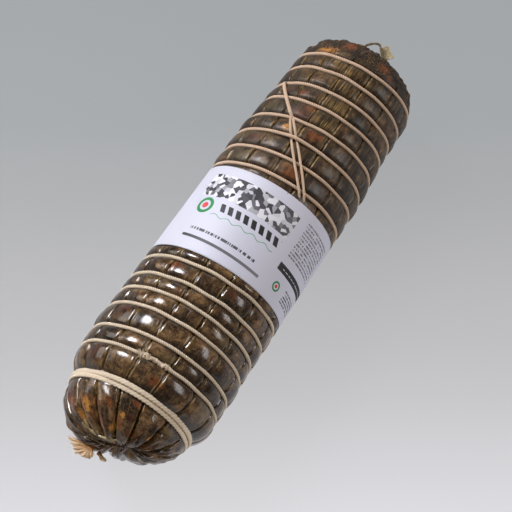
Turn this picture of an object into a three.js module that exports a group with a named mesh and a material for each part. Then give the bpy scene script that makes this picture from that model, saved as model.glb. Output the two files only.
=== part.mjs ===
// A whole rolled pancetta in its dark casing, tied with rings of twine and wrapped in a paper label.
// It lies on its side with the front of the label up. Millimetres, +Z up, X along the roll.
// Places along X are measured from the middle of the casing, angles around the roll from straight
// up, growing towards +Y. "Lower" pieces are on the thick -X end, "upper" ones on the +X end.
import * as THREE from 'three';

// Casing
const barrelRadius = 58.6;
const barrelTaper = 0.00875; // radius lost for each millimetre towards +X
const shoulderPlace = -134; // from here the casing falls away to the lower end
const narrowing = { from: 75, to: 150, amount: 3.4 };
const restHeight = 56.6; // axis above the table: the underside has gone flat there
const lowerEnd = { side: -1, base: -159.5, length: 41, radius: 51.8, roundness: 2.07 };
const upperEnd = { side: 1, base: 164, length: 36.5, radius: 53.7, roundness: 2.9 };
// Directions from the middle of each domed end to the spot where its pleats are gathered
const lowerGather = new THREE.Vector3(-0.78, -0.27, 0.52);
const upperGather = new THREE.Vector3(0.87, -0.09, 0.48);
const gatherDip = { depth: 5, reach: 0.14 }; // reach is a share of the way to the dome's edge
const shownCreases = [-72, -46, -20, 2, 25, 47]; // degrees
const creaseCount = 15;
const creaseDepth = 1.3;
const pillowRise = 0.0025; // rise of the casing between two rings, for each square mm of their gap
const pillowStations = [0.33, 0.67]; // shares of the way between two rings
const pillowUneven = 0.9;

// Twine
const twineRadius = 1.6;
const twineProud = 0.8; // how far the twine stands above the casing beside it
const grooveGap = 1.2; // from the underside of the twine to the casing, enough for flat facets
const shoulderReach = 3.4; // from the middle of the twine to the casing beside it
const shoulderSink = 1.2;
const steepGroove = { deeper: 0.45, wider: 1.2 }; // where the casing rises or falls steeply
const ringSteps = 27;
const leastHalfFlat = 6; // degrees from the last even stop of a ring to its lowest point
const cordSides = 5;
const floorClearance = 0.4;
const touchGap = 0.35;

// Each ring lies in a tilted plane: its place on top, how much of it the +Y side lies further along
// X, and how much further along the height of the axis lies than the top
const rings = [
  { name: 'twine_ring_lower_1', top: -132.4, side: -5.3, back: -5.2 },
  { name: 'twine_ring_lower_2', top: -117.6, side: -4.7, back: -4.8 },
  { name: 'twine_ring_lower_3', top: -97.5, side: -3.4, back: -4.1 },
  { name: 'twine_ring_lower_4', top: -82.2, side: -3.5, back: -4.1 },
  { name: 'twine_ring_lower_5', top: -68.4, side: -4.1, back: -2.8 },
  { name: 'twine_ring_lower_6', top: -51.5, side: -4.4, back: -1.5 },
  { name: 'twine_ring_upper_1', top: 43.9, side: -3.8, back: 1.7 },
  { name: 'twine_ring_upper_2', top: 61.8, side: -3.6, back: 3.7 },
  { name: 'twine_ring_upper_3', top: 79.9, side: -3.7, back: 2.8 },
  { name: 'twine_ring_upper_4', top: 97.5, side: -4.5, back: 3.3 },
  { name: 'twine_ring_upper_5', top: 116.6, side: -3.2, back: 5.4 },
  { name: 'twine_ring_upper_6', top: 133.5, side: -3.1, back: 4.2 },
  { name: 'twine_ring_upper_7', top: 151.7, side: -1.6, back: 3.9 },
  { name: 'twine_ring_upper_8', top: 167.4, side: -2.6, back: 6.4 },
];
const endBand = { top: -157.3, side: -4.1, back: -5.7, spacing: 3.6 }; // two twines side by side
const knot = { ring: rings[0], from: -21, to: 3, lumps: [-17, -1], lumpRadius: 2.5, lumpReach: 5 };

// Tie strands: one twine runs from ring 6 down to ring 4 and parts into two, which run on to the
// label over the other rings, except that ring 3 lies over them. Angles are in degrees.
const humpedRing = rings[8];
const hump = { angle: 2.5, width: 10, height: 4.8 };
const singleStrand = { from: rings[11], to: rings[9], start: 51, end: 14.8, bow: 0, radius: 1.5 };
const leftStrand = { from: rings[9], to: null, start: 16, end: -32.2, bow: 3, radius: 1.1 };
const rightStrand = { from: rings[9], to: null, start: 12.5, end: -35.9, bow: 0, radius: 1.1 };
const strandHeight = 1.7; // underside over the casing's high spots
const strandDip = { depth: 3, reach: 4.2 };
const strandStep = 2.4;

// Label
const label = { thickness: 0.5, proud: 0.8, underSink: 0.15 };
const labelLower = { top: -43.1, side: -2.6, back: -0.8 };
const labelUpper = { top: 37.1, side: -1.1, back: 0.8 };

const turn = Math.PI * 2;
const radians = THREE.MathUtils.degToRad;

function seededRandom(seed) {
  let state = seed;
  return () => {
    state = (state * 1664525 + 1013904223) % 4294967296;
    return state / 4294967296;
  };
}

// Where a tilted plane, such as a ring of twine or an edge of the label, meets the roll
function placeOf(plane, angle) {
  return plane.top + plane.side * Math.sin(angle) + plane.back * (1 - Math.cos(angle));
}

function superellipse(end, x) {
  const along = Math.min(1, Math.abs(x - end.base) / end.length);
  return end.radius * (1 - along ** end.roundness) ** (1 / end.roundness);
}

// Radius of the casing's high spots: a taper, a parabola down to the lower end, and two domes
function crestRadius(x) {
  if (x < lowerEnd.base) return superellipse(lowerEnd, x);
  if (x > upperEnd.base) return superellipse(upperEnd, x);
  const taper = (place) => barrelRadius - barrelTaper * place;
  if (x < shoulderPlace) {
    const fall = (shoulderPlace - x) / (shoulderPlace - lowerEnd.base);
    return taper(shoulderPlace) - (taper(shoulderPlace) - lowerEnd.radius) * fall ** 2;
  }
  return taper(x) - narrowing.amount * THREE.MathUtils.smoothstep(x, narrowing.from, narrowing.to);
}

// The underside is cut off by the table, or by a level a little above it
function flattened(radius, angle, clearance = 0) {
  const down = -Math.cos(angle);
  return down > 0 ? Math.min(radius, (restHeight - clearance) / down) : radius;
}

function onRoll(x, angle, radius) {
  return new THREE.Vector3(x, radius * Math.sin(angle), radius * Math.cos(angle));
}

function outwardAt(angle) {
  return new THREE.Vector3(0, Math.sin(angle), Math.cos(angle));
}

// One ring climbs over the two tie strands
function strandHump(ring, angle) {
  if (ring !== humpedRing) return 0;
  const offset = THREE.MathUtils.radToDeg(angle) - hump.angle;
  return hump.height * Math.exp(-((offset / hump.width) ** 2));
}

// Radius of the middle of a twine that is pulled tight around the casing
function twineLine(ring, angle, x, withoutHump = false) {
  const radius = crestRadius(x) + twineProud - twineRadius;
  const tight = flattened(radius, angle, floorClearance + twineRadius);
  return withoutHump ? tight : tight + strandHump(ring, angle);
}

// One closed body from loops of points: the ends are joined to each other or closed by fans
function loft(loops, { joined = false } = {}) {
  const count = loops[0].length;
  const points = loops.flat();
  const triangles = [];
  const bands = joined ? loops.length : loops.length - 1;
  for (let i = 0; i < bands; i += 1) {
    const here = i * count;
    const next = ((i + 1) % loops.length) * count;
    for (let j = 0; j < count; j += 1) {
      const k = (j + 1) % count;
      triangles.push([here + j, here + k, next + k], [here + j, next + k, next + j]);
    }
  }
  if (!joined) {
    const last = (loops.length - 1) * count;
    for (const [start, flip] of [[0, true], [last, false]]) {
      const middle = points.length;
      const sum = new THREE.Vector3();
      for (let j = 0; j < count; j += 1) sum.add(points[start + j]);
      points.push(sum.divideScalar(count));
      for (let j = 0; j < count; j += 1) {
        const k = (j + 1) % count;
        triangles.push(flip ? [middle, start + k, start + j] : [middle, start + j, start + k]);
      }
    }
  }
  return facingOut(points, triangles);
}

// A body whose triangles all point inwards has a negative volume, and is turned
function facingOut(points, triangles) {
  let volume = 0;
  const cross = new THREE.Vector3();
  for (const [a, b, c] of triangles) volume += cross.crossVectors(points[b], points[c]).dot(points[a]);
  const index = triangles.flatMap(([a, b, c]) => (volume < 0 ? [a, c, b] : [a, b, c]));
  const geometry = new THREE.BufferGeometry().setFromPoints(points);
  geometry.setIndex(index);
  geometry.computeVertexNormals();
  return geometry;
}

// Loops of a round cord along a path; each stop has a place, the way out of the roll and a radius
function cordLoops(stops, sides, joined = false) {
  return stops.map((stop, i) => {
    const before = stops[joined ? (i + stops.length - 1) % stops.length : Math.max(0, i - 1)];
    const after = stops[joined ? (i + 1) % stops.length : Math.min(stops.length - 1, i + 1)];
    const tangent = after.place.clone().sub(before.place).normalize();
    const across = tangent.clone().cross(stop.outward).normalize();
    const up = across.clone().cross(tangent);
    return Array.from({ length: sides }, (_, j) => {
      const spin = (turn * j) / sides;
      return stop.place.clone()
        .addScaledVector(up, stop.radius * Math.cos(spin))
        .addScaledVector(across, stop.radius * Math.sin(spin));
    });
  });
}

// The casing's columns: a crease, then two columns on the pillow between it and the next one
function casingColumns() {
  const hidden = creaseCount - shownCreases.length;
  const last = shownCreases[shownCreases.length - 1];
  const step = (360 + shownCreases[0] - last) / (hidden + 1);
  const creases = [...shownCreases];
  for (let i = 1; i <= hidden; i += 1) creases.push(last + step * i);
  return creases.flatMap((crease, i) => {
    const next = i + 1 < creases.length ? creases[i + 1] : creases[0] + 360;
    return [0, 1 / 3, 2 / 3].map((share) => ({
      angle: radians(crease + (next - crease) * share),
      crease: share === 0 ? 1 : 0,
    }));
  });
}

// Stations along the barrel, each a loop of casing points. sink is how far the loop lies below the
// high spots, crease how deep the lengthwise creases are in it, clearance how far the table is below.
function barrelStations() {
  const stations = [];
  const add = (place, sink, crease = creaseDepth, clearance = 0) => {
    stations.push({ place, sink: () => sink, crease, clearance });
  };
  const beside = (plane, shift) => (angle) => placeOf(plane, angle) + shift;
  const sideClearance = floorClearance + twineProud + shoulderSink;
  const addShoulder = (place, sink = shoulderSink) => add(place, sink, creaseDepth, sideClearance);
  const addGroove = (plane, shift, gap) => {
    const place = beside(plane, shift);
    const sink = (angle) => {
      const x = place(angle);
      return crestRadius(x) - (twineLine(plane, angle, x, true) - twineRadius - gap);
    };
    stations.push({ place, sink, crease: 0, clearance: 0 });
  };

  const halfBand = endBand.spacing / 2;
  const bandReach = halfBand + shoulderReach;
  addShoulder(beside(endBand, -bandReach));
  addGroove(endBand, -halfBand, grooveGap);
  addGroove(endBand, halfBand, grooveGap + steepGroove.deeper);
  addShoulder(beside(endBand, bandReach + steepGroove.wider), 2 * shoulderSink);

  rings.forEach((ring, i) => {
    const previous = i === 0 ? endBand : rings[i - 1];
    const acrossLabel = previous.top < labelLower.top && ring.top > labelUpper.top;
    let shoulder = beside(ring, -shoulderReach);
    if (acrossLabel) {
      const underClearance = floorClearance + label.thickness + touchGap;
      const lowerEdge = beside(labelLower, -touchGap);
      const upperEdge = beside(labelUpper, touchGap);
      add(beside(labelLower, -5 * touchGap), 0, creaseDepth / 2);
      add(lowerEdge, label.underSink, 0, underClearance);
      add(upperEdge, label.underSink, 0, underClearance);
      shoulder = (angle) => Math.max(placeOf(ring, angle) - shoulderReach, upperEdge(angle) + touchGap);
    } else {
      const rise = pillowRise * (ring.top - previous.top) ** 2;
      for (const share of pillowStations) {
        const place = (angle) => {
          return THREE.MathUtils.lerp(placeOf(previous, angle), placeOf(ring, angle), share);
        };
        add(place, -rise);
      }
    }
    const steep = i === 0 || i === rings.length - 1;
    addShoulder(shoulder, acrossLabel || steep ? 2 * shoulderSink : shoulderSink);
    addGroove(ring, 0, steep ? grooveGap + steepGroove.deeper : grooveGap);
    addShoulder(beside(ring, shoulderReach));
  });
  return stations;
}

// Distance from the middle of a domed end to its skin, along a unit direction
function domeReach(end, direction) {
  const along = direction.x * end.side;
  const across = Math.hypot(direction.y, direction.z);
  if (along <= 0) return end.radius / across;
  const power = end.roundness;
  return ((along / end.length) ** power + (across / end.radius) ** power) ** (-1 / power);
}

// Loops of a domed end from its base loop to the gather. Towards the gather the creases deepen to
// pleats, the lobes between them swell, and the skin dips at the gather itself.
function domeLoops(end, gather, baseLoop, columns, { shares, pleat, swell, rough, seed }) {
  const centre = new THREE.Vector3(end.base, 0, 0);
  const random = seededRandom(seed);
  const aim = gather.clone().normalize();
  return shares.map((share) => baseLoop.map((point, i) => {
    const from = point.clone().sub(centre).normalize();
    const direction = from.multiplyScalar(share).addScaledVector(aim, 1 - share).normalize();
    const fold = Math.sin(Math.PI * share ** 0.8);
    const relief = columns[i].crease ? -pleat * fold : swell * fold;
    const dip = gatherDip.depth * Math.exp(-((share / gatherDip.reach) ** 2));
    const reach = domeReach(end, direction) + relief - dip + rough * (random() - 0.5);
    return centre.clone().addScaledVector(direction, reach);
  }));
}

function rollGeometry() {
  const columns = casingColumns();
  const random = seededRandom(7);
  const barrel = barrelStations().map((station) => columns.map(({ angle, crease }) => {
    const x = station.place(angle);
    const uneven = station.sink(angle) < 0 ? pillowUneven * (random() - 0.5) : 0;
    const radius = crestRadius(x) - station.sink(angle) - station.crease * crease + uneven;
    return onRoll(x, angle, flattened(radius, angle, station.clearance));
  }));
  const lowerDome = domeLoops(lowerEnd, lowerGather, barrel[0], columns, {
    shares: [0.1, 0.26, 0.45, 0.65, 0.85], pleat: 2.6, swell: 0.9, rough: 0.8, seed: 11,
  });
  const upperDome = domeLoops(upperEnd, upperGather, barrel[barrel.length - 1], columns, {
    shares: [0.85, 0.65, 0.45, 0.26, 0.1], pleat: 1.6, swell: 0.5, rough: 1.8, seed: 23,
  });
  return loft([...lowerDome, ...barrel, ...upperDome]);
}

function labelGeometry() {
  const loops = casingColumns().map(({ angle }) => {
    const corner = (edge, lift, clearance) => {
      const x = placeOf(edge, angle);
      return onRoll(x, angle, flattened(crestRadius(x) + lift, angle, clearance));
    };
    const inside = label.proud - label.thickness;
    const insideClearance = floorClearance + label.thickness;
    return [
      corner(labelLower, inside, insideClearance),
      corner(labelUpper, inside, insideClearance),
      corner(labelUpper, label.proud, floorClearance),
      corner(labelLower, label.proud, floorClearance),
    ];
  });
  return loft(loops, { joined: true });
}

function ringStop(ring, angle, shift = 0) {
  const x = placeOf(ring, angle) + shift;
  const place = onRoll(x, angle, twineLine(ring, angle, x));
  return { place, outward: outwardAt(angle), radius: twineRadius };
}

// The angle at which the underside of a ring goes flat, or is nearly at its lowest point
function flatAngle(ring, shift) {
  const radius = crestRadius(placeOf(ring, Math.PI) + shift) + twineProud - twineRadius;
  const level = restHeight - floorClearance - twineRadius;
  return Math.PI - Math.max(radians(leastHalfFlat), Math.acos(Math.min(1, level / radius)));
}

function evenAngles(from, to, count) {
  return Array.from({ length: count }, (_, i) => from + ((to - from) * i) / (count - 1));
}

// A ring has even steps from where its underside is flat on one side to there on the other side,
// and one stop in the middle of the flat part
function ringGeometry(ring, shift = 0) {
  const flat = flatAngle(ring, shift);
  const steps = ring === humpedRing ? Math.round(1.6 * ringSteps) : ringSteps;
  const angles = [...evenAngles(-flat, flat, steps), Math.PI];
  const stops = angles.map((angle) => ringStop(ring, angle, shift));
  return loft(cordLoops(stops, cordSides, true), { joined: true });
}

// The knotted ring is open where the knot sits
function knottedRingGeometry() {
  const gap = radians(touchGap);
  const flat = flatAngle(knot.ring, 0);
  const rightPart = evenAngles(-flat, radians(knot.from) - gap, Math.floor(ringSteps / 2));
  const leftPart = evenAngles(radians(knot.to) + gap, flat, Math.ceil(ringSteps / 2));
  const stops = [...leftPart, Math.PI, ...rightPart].map((angle) => ringStop(knot.ring, angle));
  return loft(cordLoops(stops, cordSides));
}

function knotGeometry() {
  const steps = 12;
  const stops = Array.from({ length: steps + 1 }, (_, i) => {
    const degrees = knot.from + ((knot.to - knot.from) * i) / steps;
    const swells = knot.lumps.map((lump) => Math.exp(-(((degrees - lump) / knot.lumpReach) ** 2)));
    const radius = twineRadius + (knot.lumpRadius - twineRadius) * Math.max(...swells);
    const stop = ringStop(knot.ring, radians(degrees));
    const lift = (radius - twineRadius) * 1.15;
    return { ...stop, place: stop.place.addScaledVector(stop.outward, lift), radius };
  });
  return loft(cordLoops(stops, cordSides + 1));
}

// A tie strand runs straight over the casing, a little bowed, at one height over its high spots,
// and dips where the humped ring lies over it
function strandGeometry({ from, to, start, end, bow, radius }) {
  const endPlane = to ?? labelUpper;
  const startPlace = placeOf(from, radians(start)) - twineRadius - 2 * touchGap;
  const endPlace = placeOf(endPlane, radians(end)) + (to ? twineRadius : 0) + 2 * touchGap;
  const steps = Math.round((startPlace - endPlace) / strandStep);
  const stops = Array.from({ length: steps + 1 }, (_, i) => {
    const share = i / steps;
    const x = THREE.MathUtils.lerp(startPlace, endPlace, share);
    const angle = radians(THREE.MathUtils.lerp(start, end, share) + bow * 4 * share * (1 - share));
    const fromRing = (x - placeOf(humpedRing, angle)) / strandDip.reach;
    const height = strandHeight - strandDip.depth * Math.exp(-(fromRing ** 2));
    const place = onRoll(x, angle, crestRadius(x) + height + radius);
    return { place, outward: outwardAt(angle), radius };
  });
  return loft(cordLoops(stops, cordSides));
}

// A thin leaf: rows of points on its middle surface, given a thickness along one direction
function leafGeometry(rows, normal, thickness) {
  return loft(rows.map((row) => {
    const lift = (point, amount) => point.clone().addScaledVector(normal, amount);
    const top = row.map((point) => lift(point, thickness / 2));
    const bottom = row.map((point) => lift(point, -thickness / 2)).reverse();
    return [...top, ...bottom];
  }));
}

// A splayed tuft of cut fibres: spokes from a root, level with the table, each second one raised
function tuftGeometry({ root, rootWidth, directions, tilt, thickness }) {
  const up = new THREE.Vector3(0, 0, 1);
  const shares = [0, 0.35, 0.7, 1];
  const middle = (directions.length - 1) / 2;
  const first = directions[0].clone().normalize();
  const last = directions[directions.length - 1].clone().normalize();
  const spread = first.sub(last).normalize();
  const rows = shares.map((share) => directions.map((direction, i) => {
    const point = root.clone().addScaledVector(spread, (rootWidth * (middle - i)) / (2 * middle));
    point.addScaledVector(direction, share);
    point.z += share * tilt + (i % 2 === 0 ? 0.5 : -0.5) * share;
    return point;
  }));
  return leafGeometry(rows, up, thickness);
}

// Spoke directions of a tuft, turning evenly from one heading to the other while their length changes
function spokes(count, fromHeading, toHeading, fromLength, toLength) {
  return Array.from({ length: count }, (_, i) => {
    const share = i / (count - 1);
    const heading = radians(THREE.MathUtils.lerp(fromHeading, toHeading, share));
    const uneven = i % 2 === 0 ? 1 : 0.86;
    const length = THREE.MathUtils.lerp(fromLength, toLength, share ** 0.6) * uneven;
    return new THREE.Vector3(Math.cos(heading) * length, Math.sin(heading) * length, 0);
  });
}

function lowerTailGeometry() {
  return tuftGeometry({
    root: new THREE.Vector3(-202.2, 5, 5), rootWidth: 4,
    directions: spokes(9, 93, 212, 21, 7), tilt: -1, thickness: 2,
  });
}

function smallTailGeometry() {
  return tuftGeometry({
    root: new THREE.Vector3(-202.9, 2.4, 1), rootWidth: 3,
    directions: spokes(5, 225, 262, 5, 9), tilt: -4, thickness: 1.6,
  });
}

// The loose cord over the upper gather: a bent loop that stands off the casing
function endLoopGeometry() {
  const path = new THREE.CatmullRomCurve3([
    new THREE.Vector3(199.6, 8.6, 29.3),
    new THREE.Vector3(205.5, 5.2, 31.5),
    new THREE.Vector3(209.3, 0, 31.8),
    new THREE.Vector3(207.2, -4.6, 31.2),
    new THREE.Vector3(203, -9.6, 30.4),
    new THREE.Vector3(198.8, -15.4, 29.2),
  ]);
  const outward = new THREE.Vector3(0, 0, 1);
  const stops = path.getPoints(10).map((place) => ({ place, outward, radius: 1.1 }));
  return loft(cordLoops(stops, cordSides));
}

// The casing's end at the upper gather: a stiff, slightly wavy flap
function upperTailGeometry() {
  const near = [new THREE.Vector3(205.6, -3, 28), new THREE.Vector3(198.8, -13.4, 26.4)];
  const far = [new THREE.Vector3(211.6, -8, 28.4), new THREE.Vector3(204.4, -17.6, 26.2)];
  const rows = [0, 0.5, 1].map((out) => [0, 0.33, 0.67, 1].map((along) => {
    const inner = near[0].clone().lerp(near[1], along);
    const outer = far[0].clone().lerp(far[1], along);
    const point = inner.lerp(outer, out);
    point.z += 0.6 * Math.sin(along * 5 + out * 2);
    return point;
  }));
  return leafGeometry(rows, new THREE.Vector3(0, 0, 1), 0.9);
}

const finishes = {
  casing: { color: '#3f3226', roughness: 0.35, metalness: 0 },
  twine: { color: '#cdb28c', roughness: 0.9, metalness: 0 },
  paper: { color: '#e4e4ee', roughness: 0.6, metalness: 0 },
  fibre: { color: '#c58f4f', roughness: 0.8, metalness: 0 },
  driedCasing: { color: '#8a7d5e', roughness: 0.6, metalness: 0 },
};

const pancetta = new THREE.Group();

function addPiece(name, geometry, finish) {
  const mesh = new THREE.Mesh(geometry, new THREE.MeshStandardMaterial(finishes[finish]));
  mesh.name = name;
  pancetta.add(mesh);
}

addPiece('roll', rollGeometry(), 'casing');
addPiece('label', labelGeometry(), 'paper');
addPiece('twine_band_1', ringGeometry(endBand, -endBand.spacing / 2), 'twine');
addPiece('twine_band_2', ringGeometry(endBand, endBand.spacing / 2), 'twine');
for (const ring of rings) {
  addPiece(ring.name, ring === knot.ring ? knottedRingGeometry() : ringGeometry(ring), 'twine');
}
addPiece('twine_knot', knotGeometry(), 'twine');
addPiece('tie_strand_upper', strandGeometry(singleStrand), 'twine');
addPiece('tie_strand_left', strandGeometry(leftStrand), 'twine');
addPiece('tie_strand_right', strandGeometry(rightStrand), 'twine');
addPiece('tail_lower', lowerTailGeometry(), 'fibre');
addPiece('tail_lower_small', smallTailGeometry(), 'fibre');
addPiece('end_loop', endLoopGeometry(), 'driedCasing');
addPiece('tail_upper', upperTailGeometry(), 'driedCasing');

// The origin is under the middle of the whole, on the table
const bounds = new THREE.Box3().setFromObject(pancetta);
const centre = bounds.getCenter(new THREE.Vector3());
pancetta.position.set(-centre.x, -centre.y, -bounds.min.z);
pancetta.updateMatrixWorld(true);

export default pancetta;
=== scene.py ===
import bpy
import numpy as np
from mathutils import Matrix, Vector


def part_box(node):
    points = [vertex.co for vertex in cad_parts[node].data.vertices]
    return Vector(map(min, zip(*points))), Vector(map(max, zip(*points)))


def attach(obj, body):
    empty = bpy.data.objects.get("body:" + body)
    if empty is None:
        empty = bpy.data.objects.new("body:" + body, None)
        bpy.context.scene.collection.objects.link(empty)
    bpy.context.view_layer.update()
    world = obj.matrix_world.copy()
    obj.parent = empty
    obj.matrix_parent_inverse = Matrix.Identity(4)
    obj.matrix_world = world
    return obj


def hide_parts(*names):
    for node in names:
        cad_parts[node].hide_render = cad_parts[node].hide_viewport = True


# A whole rolled pancetta in its dark casing, tied with twine, with a paper label round its middle.
# Shapes are worked out in millimetres in the roll's own frame: x from the casing's middle, y and z
# from its axis, and angles round the roll from straight up towards +Y. putInFrame turns them to metres.

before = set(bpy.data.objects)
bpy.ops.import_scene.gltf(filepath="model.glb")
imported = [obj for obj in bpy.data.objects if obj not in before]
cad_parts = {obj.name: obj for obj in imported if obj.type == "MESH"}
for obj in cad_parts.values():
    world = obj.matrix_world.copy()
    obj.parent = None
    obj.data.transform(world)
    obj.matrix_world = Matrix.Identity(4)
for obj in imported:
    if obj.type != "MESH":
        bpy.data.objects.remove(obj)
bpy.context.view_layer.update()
bpy.context.scene.view_settings.view_transform = "Standard"

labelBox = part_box("label")
labelMiddle = -3.2  # the label's middle along the roll, mm
axisHeight = 56.6  # the roll's axis above the table, mm
rollOrigin = np.array([
    (labelBox[0].x + labelBox[1].x) * 500 - labelMiddle,
    (labelBox[0].y + labelBox[1].y) * 500,
    axisHeight,
])
turn = 2 * np.pi

# Arrays and meshes


def smoothStep(values, low, high):
    # 0 on low's side, 1 on high's side, and the cubic 3t2 - 2t3 between them
    t = np.clip((values - low) / (high - low), 0, 1)
    return t * t * (3 - 2 * t)


def bell(values, width):
    return np.exp(-(values / width) ** 2)


def evenAngles(count):
    return turn * np.arange(count) / count


def unit(vectors):
    return vectors / np.linalg.norm(vectors, axis=-1, keepdims=True)


def waves(seed, along, angle, count, lengths, rings):
    # A sum of sine waves over the roll, each with a random phase: their number, their wave lengths
    # along the roll drawn between the two lengths (mm), and a whole number of waves round it
    random = np.random.default_rng(seed)
    total = np.zeros(np.broadcast(along, angle).shape)
    for _ in range(count):
        length = random.uniform(*lengths)
        around = random.integers(rings[0], rings[1] + 1)
        phase, lean = random.uniform(0, turn), random.choice([-1, 1])
        total += np.sin(turn * along / length + lean * around * angle + phase)
    return total / np.sqrt(count)


def putInFrame(points):
    return (points + rollOrigin) / 1000


def onRoll(x, angle, radius):
    return np.stack([x + 0 * angle, radius * np.sin(angle), radius * np.cos(angle)], axis=-1)


def gridFaces(rows, columns, joinRows, joinColumns):
    # Corner numbers of the quads between neighbouring rows and columns of a grid of points
    i = np.arange(rows if joinRows else rows - 1)[:, None]
    j = np.arange(columns if joinColumns else columns - 1)[None, :]
    row, nextRow, nextColumn = i * columns, (i + 1) % rows * columns, (j + 1) % columns
    corners = [row + j, nextRow + j, nextRow + nextColumn, row + nextColumn]
    return np.stack(corners, axis=-1).reshape(-1, 4)


def smoothPath(places, count):
    # A Catmull-Rom curve: between two places it is a cubic whose slopes follow their neighbours
    p = np.array(places, float)
    p = np.concatenate([2 * p[:1] - p[1:2], p, 2 * p[-1:] - p[-2:-1]])
    u = np.linspace(0, len(places) - 1.0001, count)
    i, t = u.astype(int), (u % 1)[:, None]
    a, b, c, d = p[i], p[i + 1], p[i + 2], p[i + 3]
    square, cube = 2 * a - 5 * b + 4 * c - d, 3 * b - a - 3 * c + d
    return b + 0.5 * ((c - a) * t + square * t ** 2 + cube * t ** 3)


def joinParts(parts):
    # Several grids of points with their faces, attributes and map places, as one mesh
    points, attributes, uv, faces, count = [], {}, [], {}, 0
    for partPoints, partFaces, partAttributes, partUv in parts:
        points.append(partPoints.reshape(-1, 3))
        uv.append(partUv.reshape(-1, 2))
        for key, values in partAttributes.items():
            attributes.setdefault(key, []).append(values)
        for group in partFaces:
            faces.setdefault(group.shape[1], []).append(group + count)
        count += len(points[-1])
    merged = {key: np.concatenate(values) for key, values in attributes.items()}
    return np.concatenate(points), [np.concatenate(f) for f in faces.values()], merged, np.concatenate(uv)


def addObject(name, data):
    made = bpy.data.objects.new(name, data)
    bpy.context.scene.collection.objects.link(made)
    return made


def buildPiece(name, mesh, material, nodes):
    # mesh is (points, faces, attributes, map places): faces is a list of arrays of corner numbers, and
    # each array holds faces with one number of corners
    points, faces, attributes, uv = mesh
    made = bpy.data.meshes.new(name)
    flat = putInFrame(points.reshape(-1, 3))
    made.vertices.add(len(flat))
    made.vertices.foreach_set("co", flat.ravel())
    corners = np.concatenate([f.ravel() for f in faces])
    sizes = np.concatenate([np.full(len(f), f.shape[1]) for f in faces])
    starts = np.concatenate([[0], np.cumsum(sizes)[:-1]])
    made.loops.add(len(corners))
    made.loops.foreach_set("vertex_index", corners.astype(np.int32))
    made.polygons.add(len(sizes))
    made.polygons.foreach_set("loop_start", starts.astype(np.int32))
    made.polygons.foreach_set("use_smooth", np.ones(len(sizes), bool))
    made.update(calc_edges=True)
    for key, values in attributes.items():
        isVector = values.ndim > 1
        layer = made.attributes.new(key, "FLOAT_VECTOR" if isVector else "FLOAT", "POINT")
        layer.data.foreach_set("vector" if isVector else "value", values.astype(np.float32).ravel())
    if uv is not None:
        layer = made.uv_layers.new(name="flat")
        layer.data.foreach_set("uv", uv.reshape(-1, 2)[corners].astype(np.float32).ravel())
    made.validate()
    piece = addObject(name, made)
    made.materials.append(material)
    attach(piece, "root")
    if nodes:
        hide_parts(*nodes)
    return piece


# Materials: the helpers that every finish is made with


def linear(hexColour):
    # sRGB hex to the linear values that Blender's sockets take
    parts = [int(hexColour[i:i + 2], 16) / 255 for i in (1, 3, 5)]
    return tuple(c / 12.92 if c <= 0.04045 else ((c + 0.055) / 1.055) ** 2.4 for c in parts) + (1,)


def addNode(material, kind, inputs=None, out=0, stops=None, **settings):
    # inputs: socket name or number to a value, a hex colour or another node's output, which is linked.
    # settings: the node's own choices. stops: a ramp's places and colours. Returns the output asked for.
    node = material.node_tree.nodes.new("ShaderNode" + kind)
    for key, value in settings.items():
        setattr(node, key, value)
    setSockets(material, node, inputs or {})
    for i, (place, colour) in enumerate(stops or ()):
        element = node.color_ramp.elements[i] if i < 2 else node.color_ramp.elements.new(place)
        element.position, element.color = place, linear(colour)
    return node.outputs[out]


def setSockets(material, node, inputs):
    for key, value in inputs.items():
        if isinstance(value, bpy.types.NodeSocket):
            material.node_tree.links.new(value, node.inputs[key])
        else:
            node.inputs[key].default_value = linear(value) if isinstance(value, str) else value


# Settings that many nodes share: a mix of two colours, a soft map range, and sums of products
inColour = {"out": 2, "data_type": "RGBA"}
smooth = {"interpolation_type": "SMOOTHSTEP"}
times, timesPlus = {"operation": "MULTIPLY"}, {"operation": "MULTIPLY_ADD"}


def newMaterial(name):
    material = bpy.data.materials.new(name)
    material.use_nodes = True
    return material, material.node_tree.nodes["Principled BSDF"]


# Camera, floor and light

view = {
    "place": (-328.86, -220.42, 888.74),  # mm from the roll's middle
    "right": (0.535, -0.845, 0.0),
    "down": (-0.774, -0.491, -0.401),
    "lens": 84.375, "sensor": 36,
}


def addCamera():
    camera = bpy.data.cameras.new("camera")
    camera.lens, camera.sensor_width = view["lens"], view["sensor"]
    camera.clip_end = 50
    holder = addObject("camera", camera)
    right, down = Vector(view["right"]).normalized(), Vector(view["down"])
    back = right.cross(-down).normalized()
    turned = Matrix((right, back.cross(right), back)).transposed().to_4x4()
    holder.matrix_world = Matrix.Translation(putInFrame(np.array(view["place"]))) @ turned
    bpy.context.scene.camera = holder


floor = {
    "size": 8, "sheet": "#2a2a2c", "glow": 0.84,
    "heading": (-0.84, -0.54, 0), "from": -0.28, "to": 0.20,  # metres along the heading
    # the tones of the painted glow, from far to near along the heading
    "tones": ((0, "#a9adb0"), (1, "#e8e7eb"), (0.27, "#acb0b3"), (0.43, "#b6b7b9"), (0.59, "#c2c2c4"),
              (0.72, "#cacacd"), (0.81, "#d2d2d4"), (0.90, "#dddde1")),
}


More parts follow.
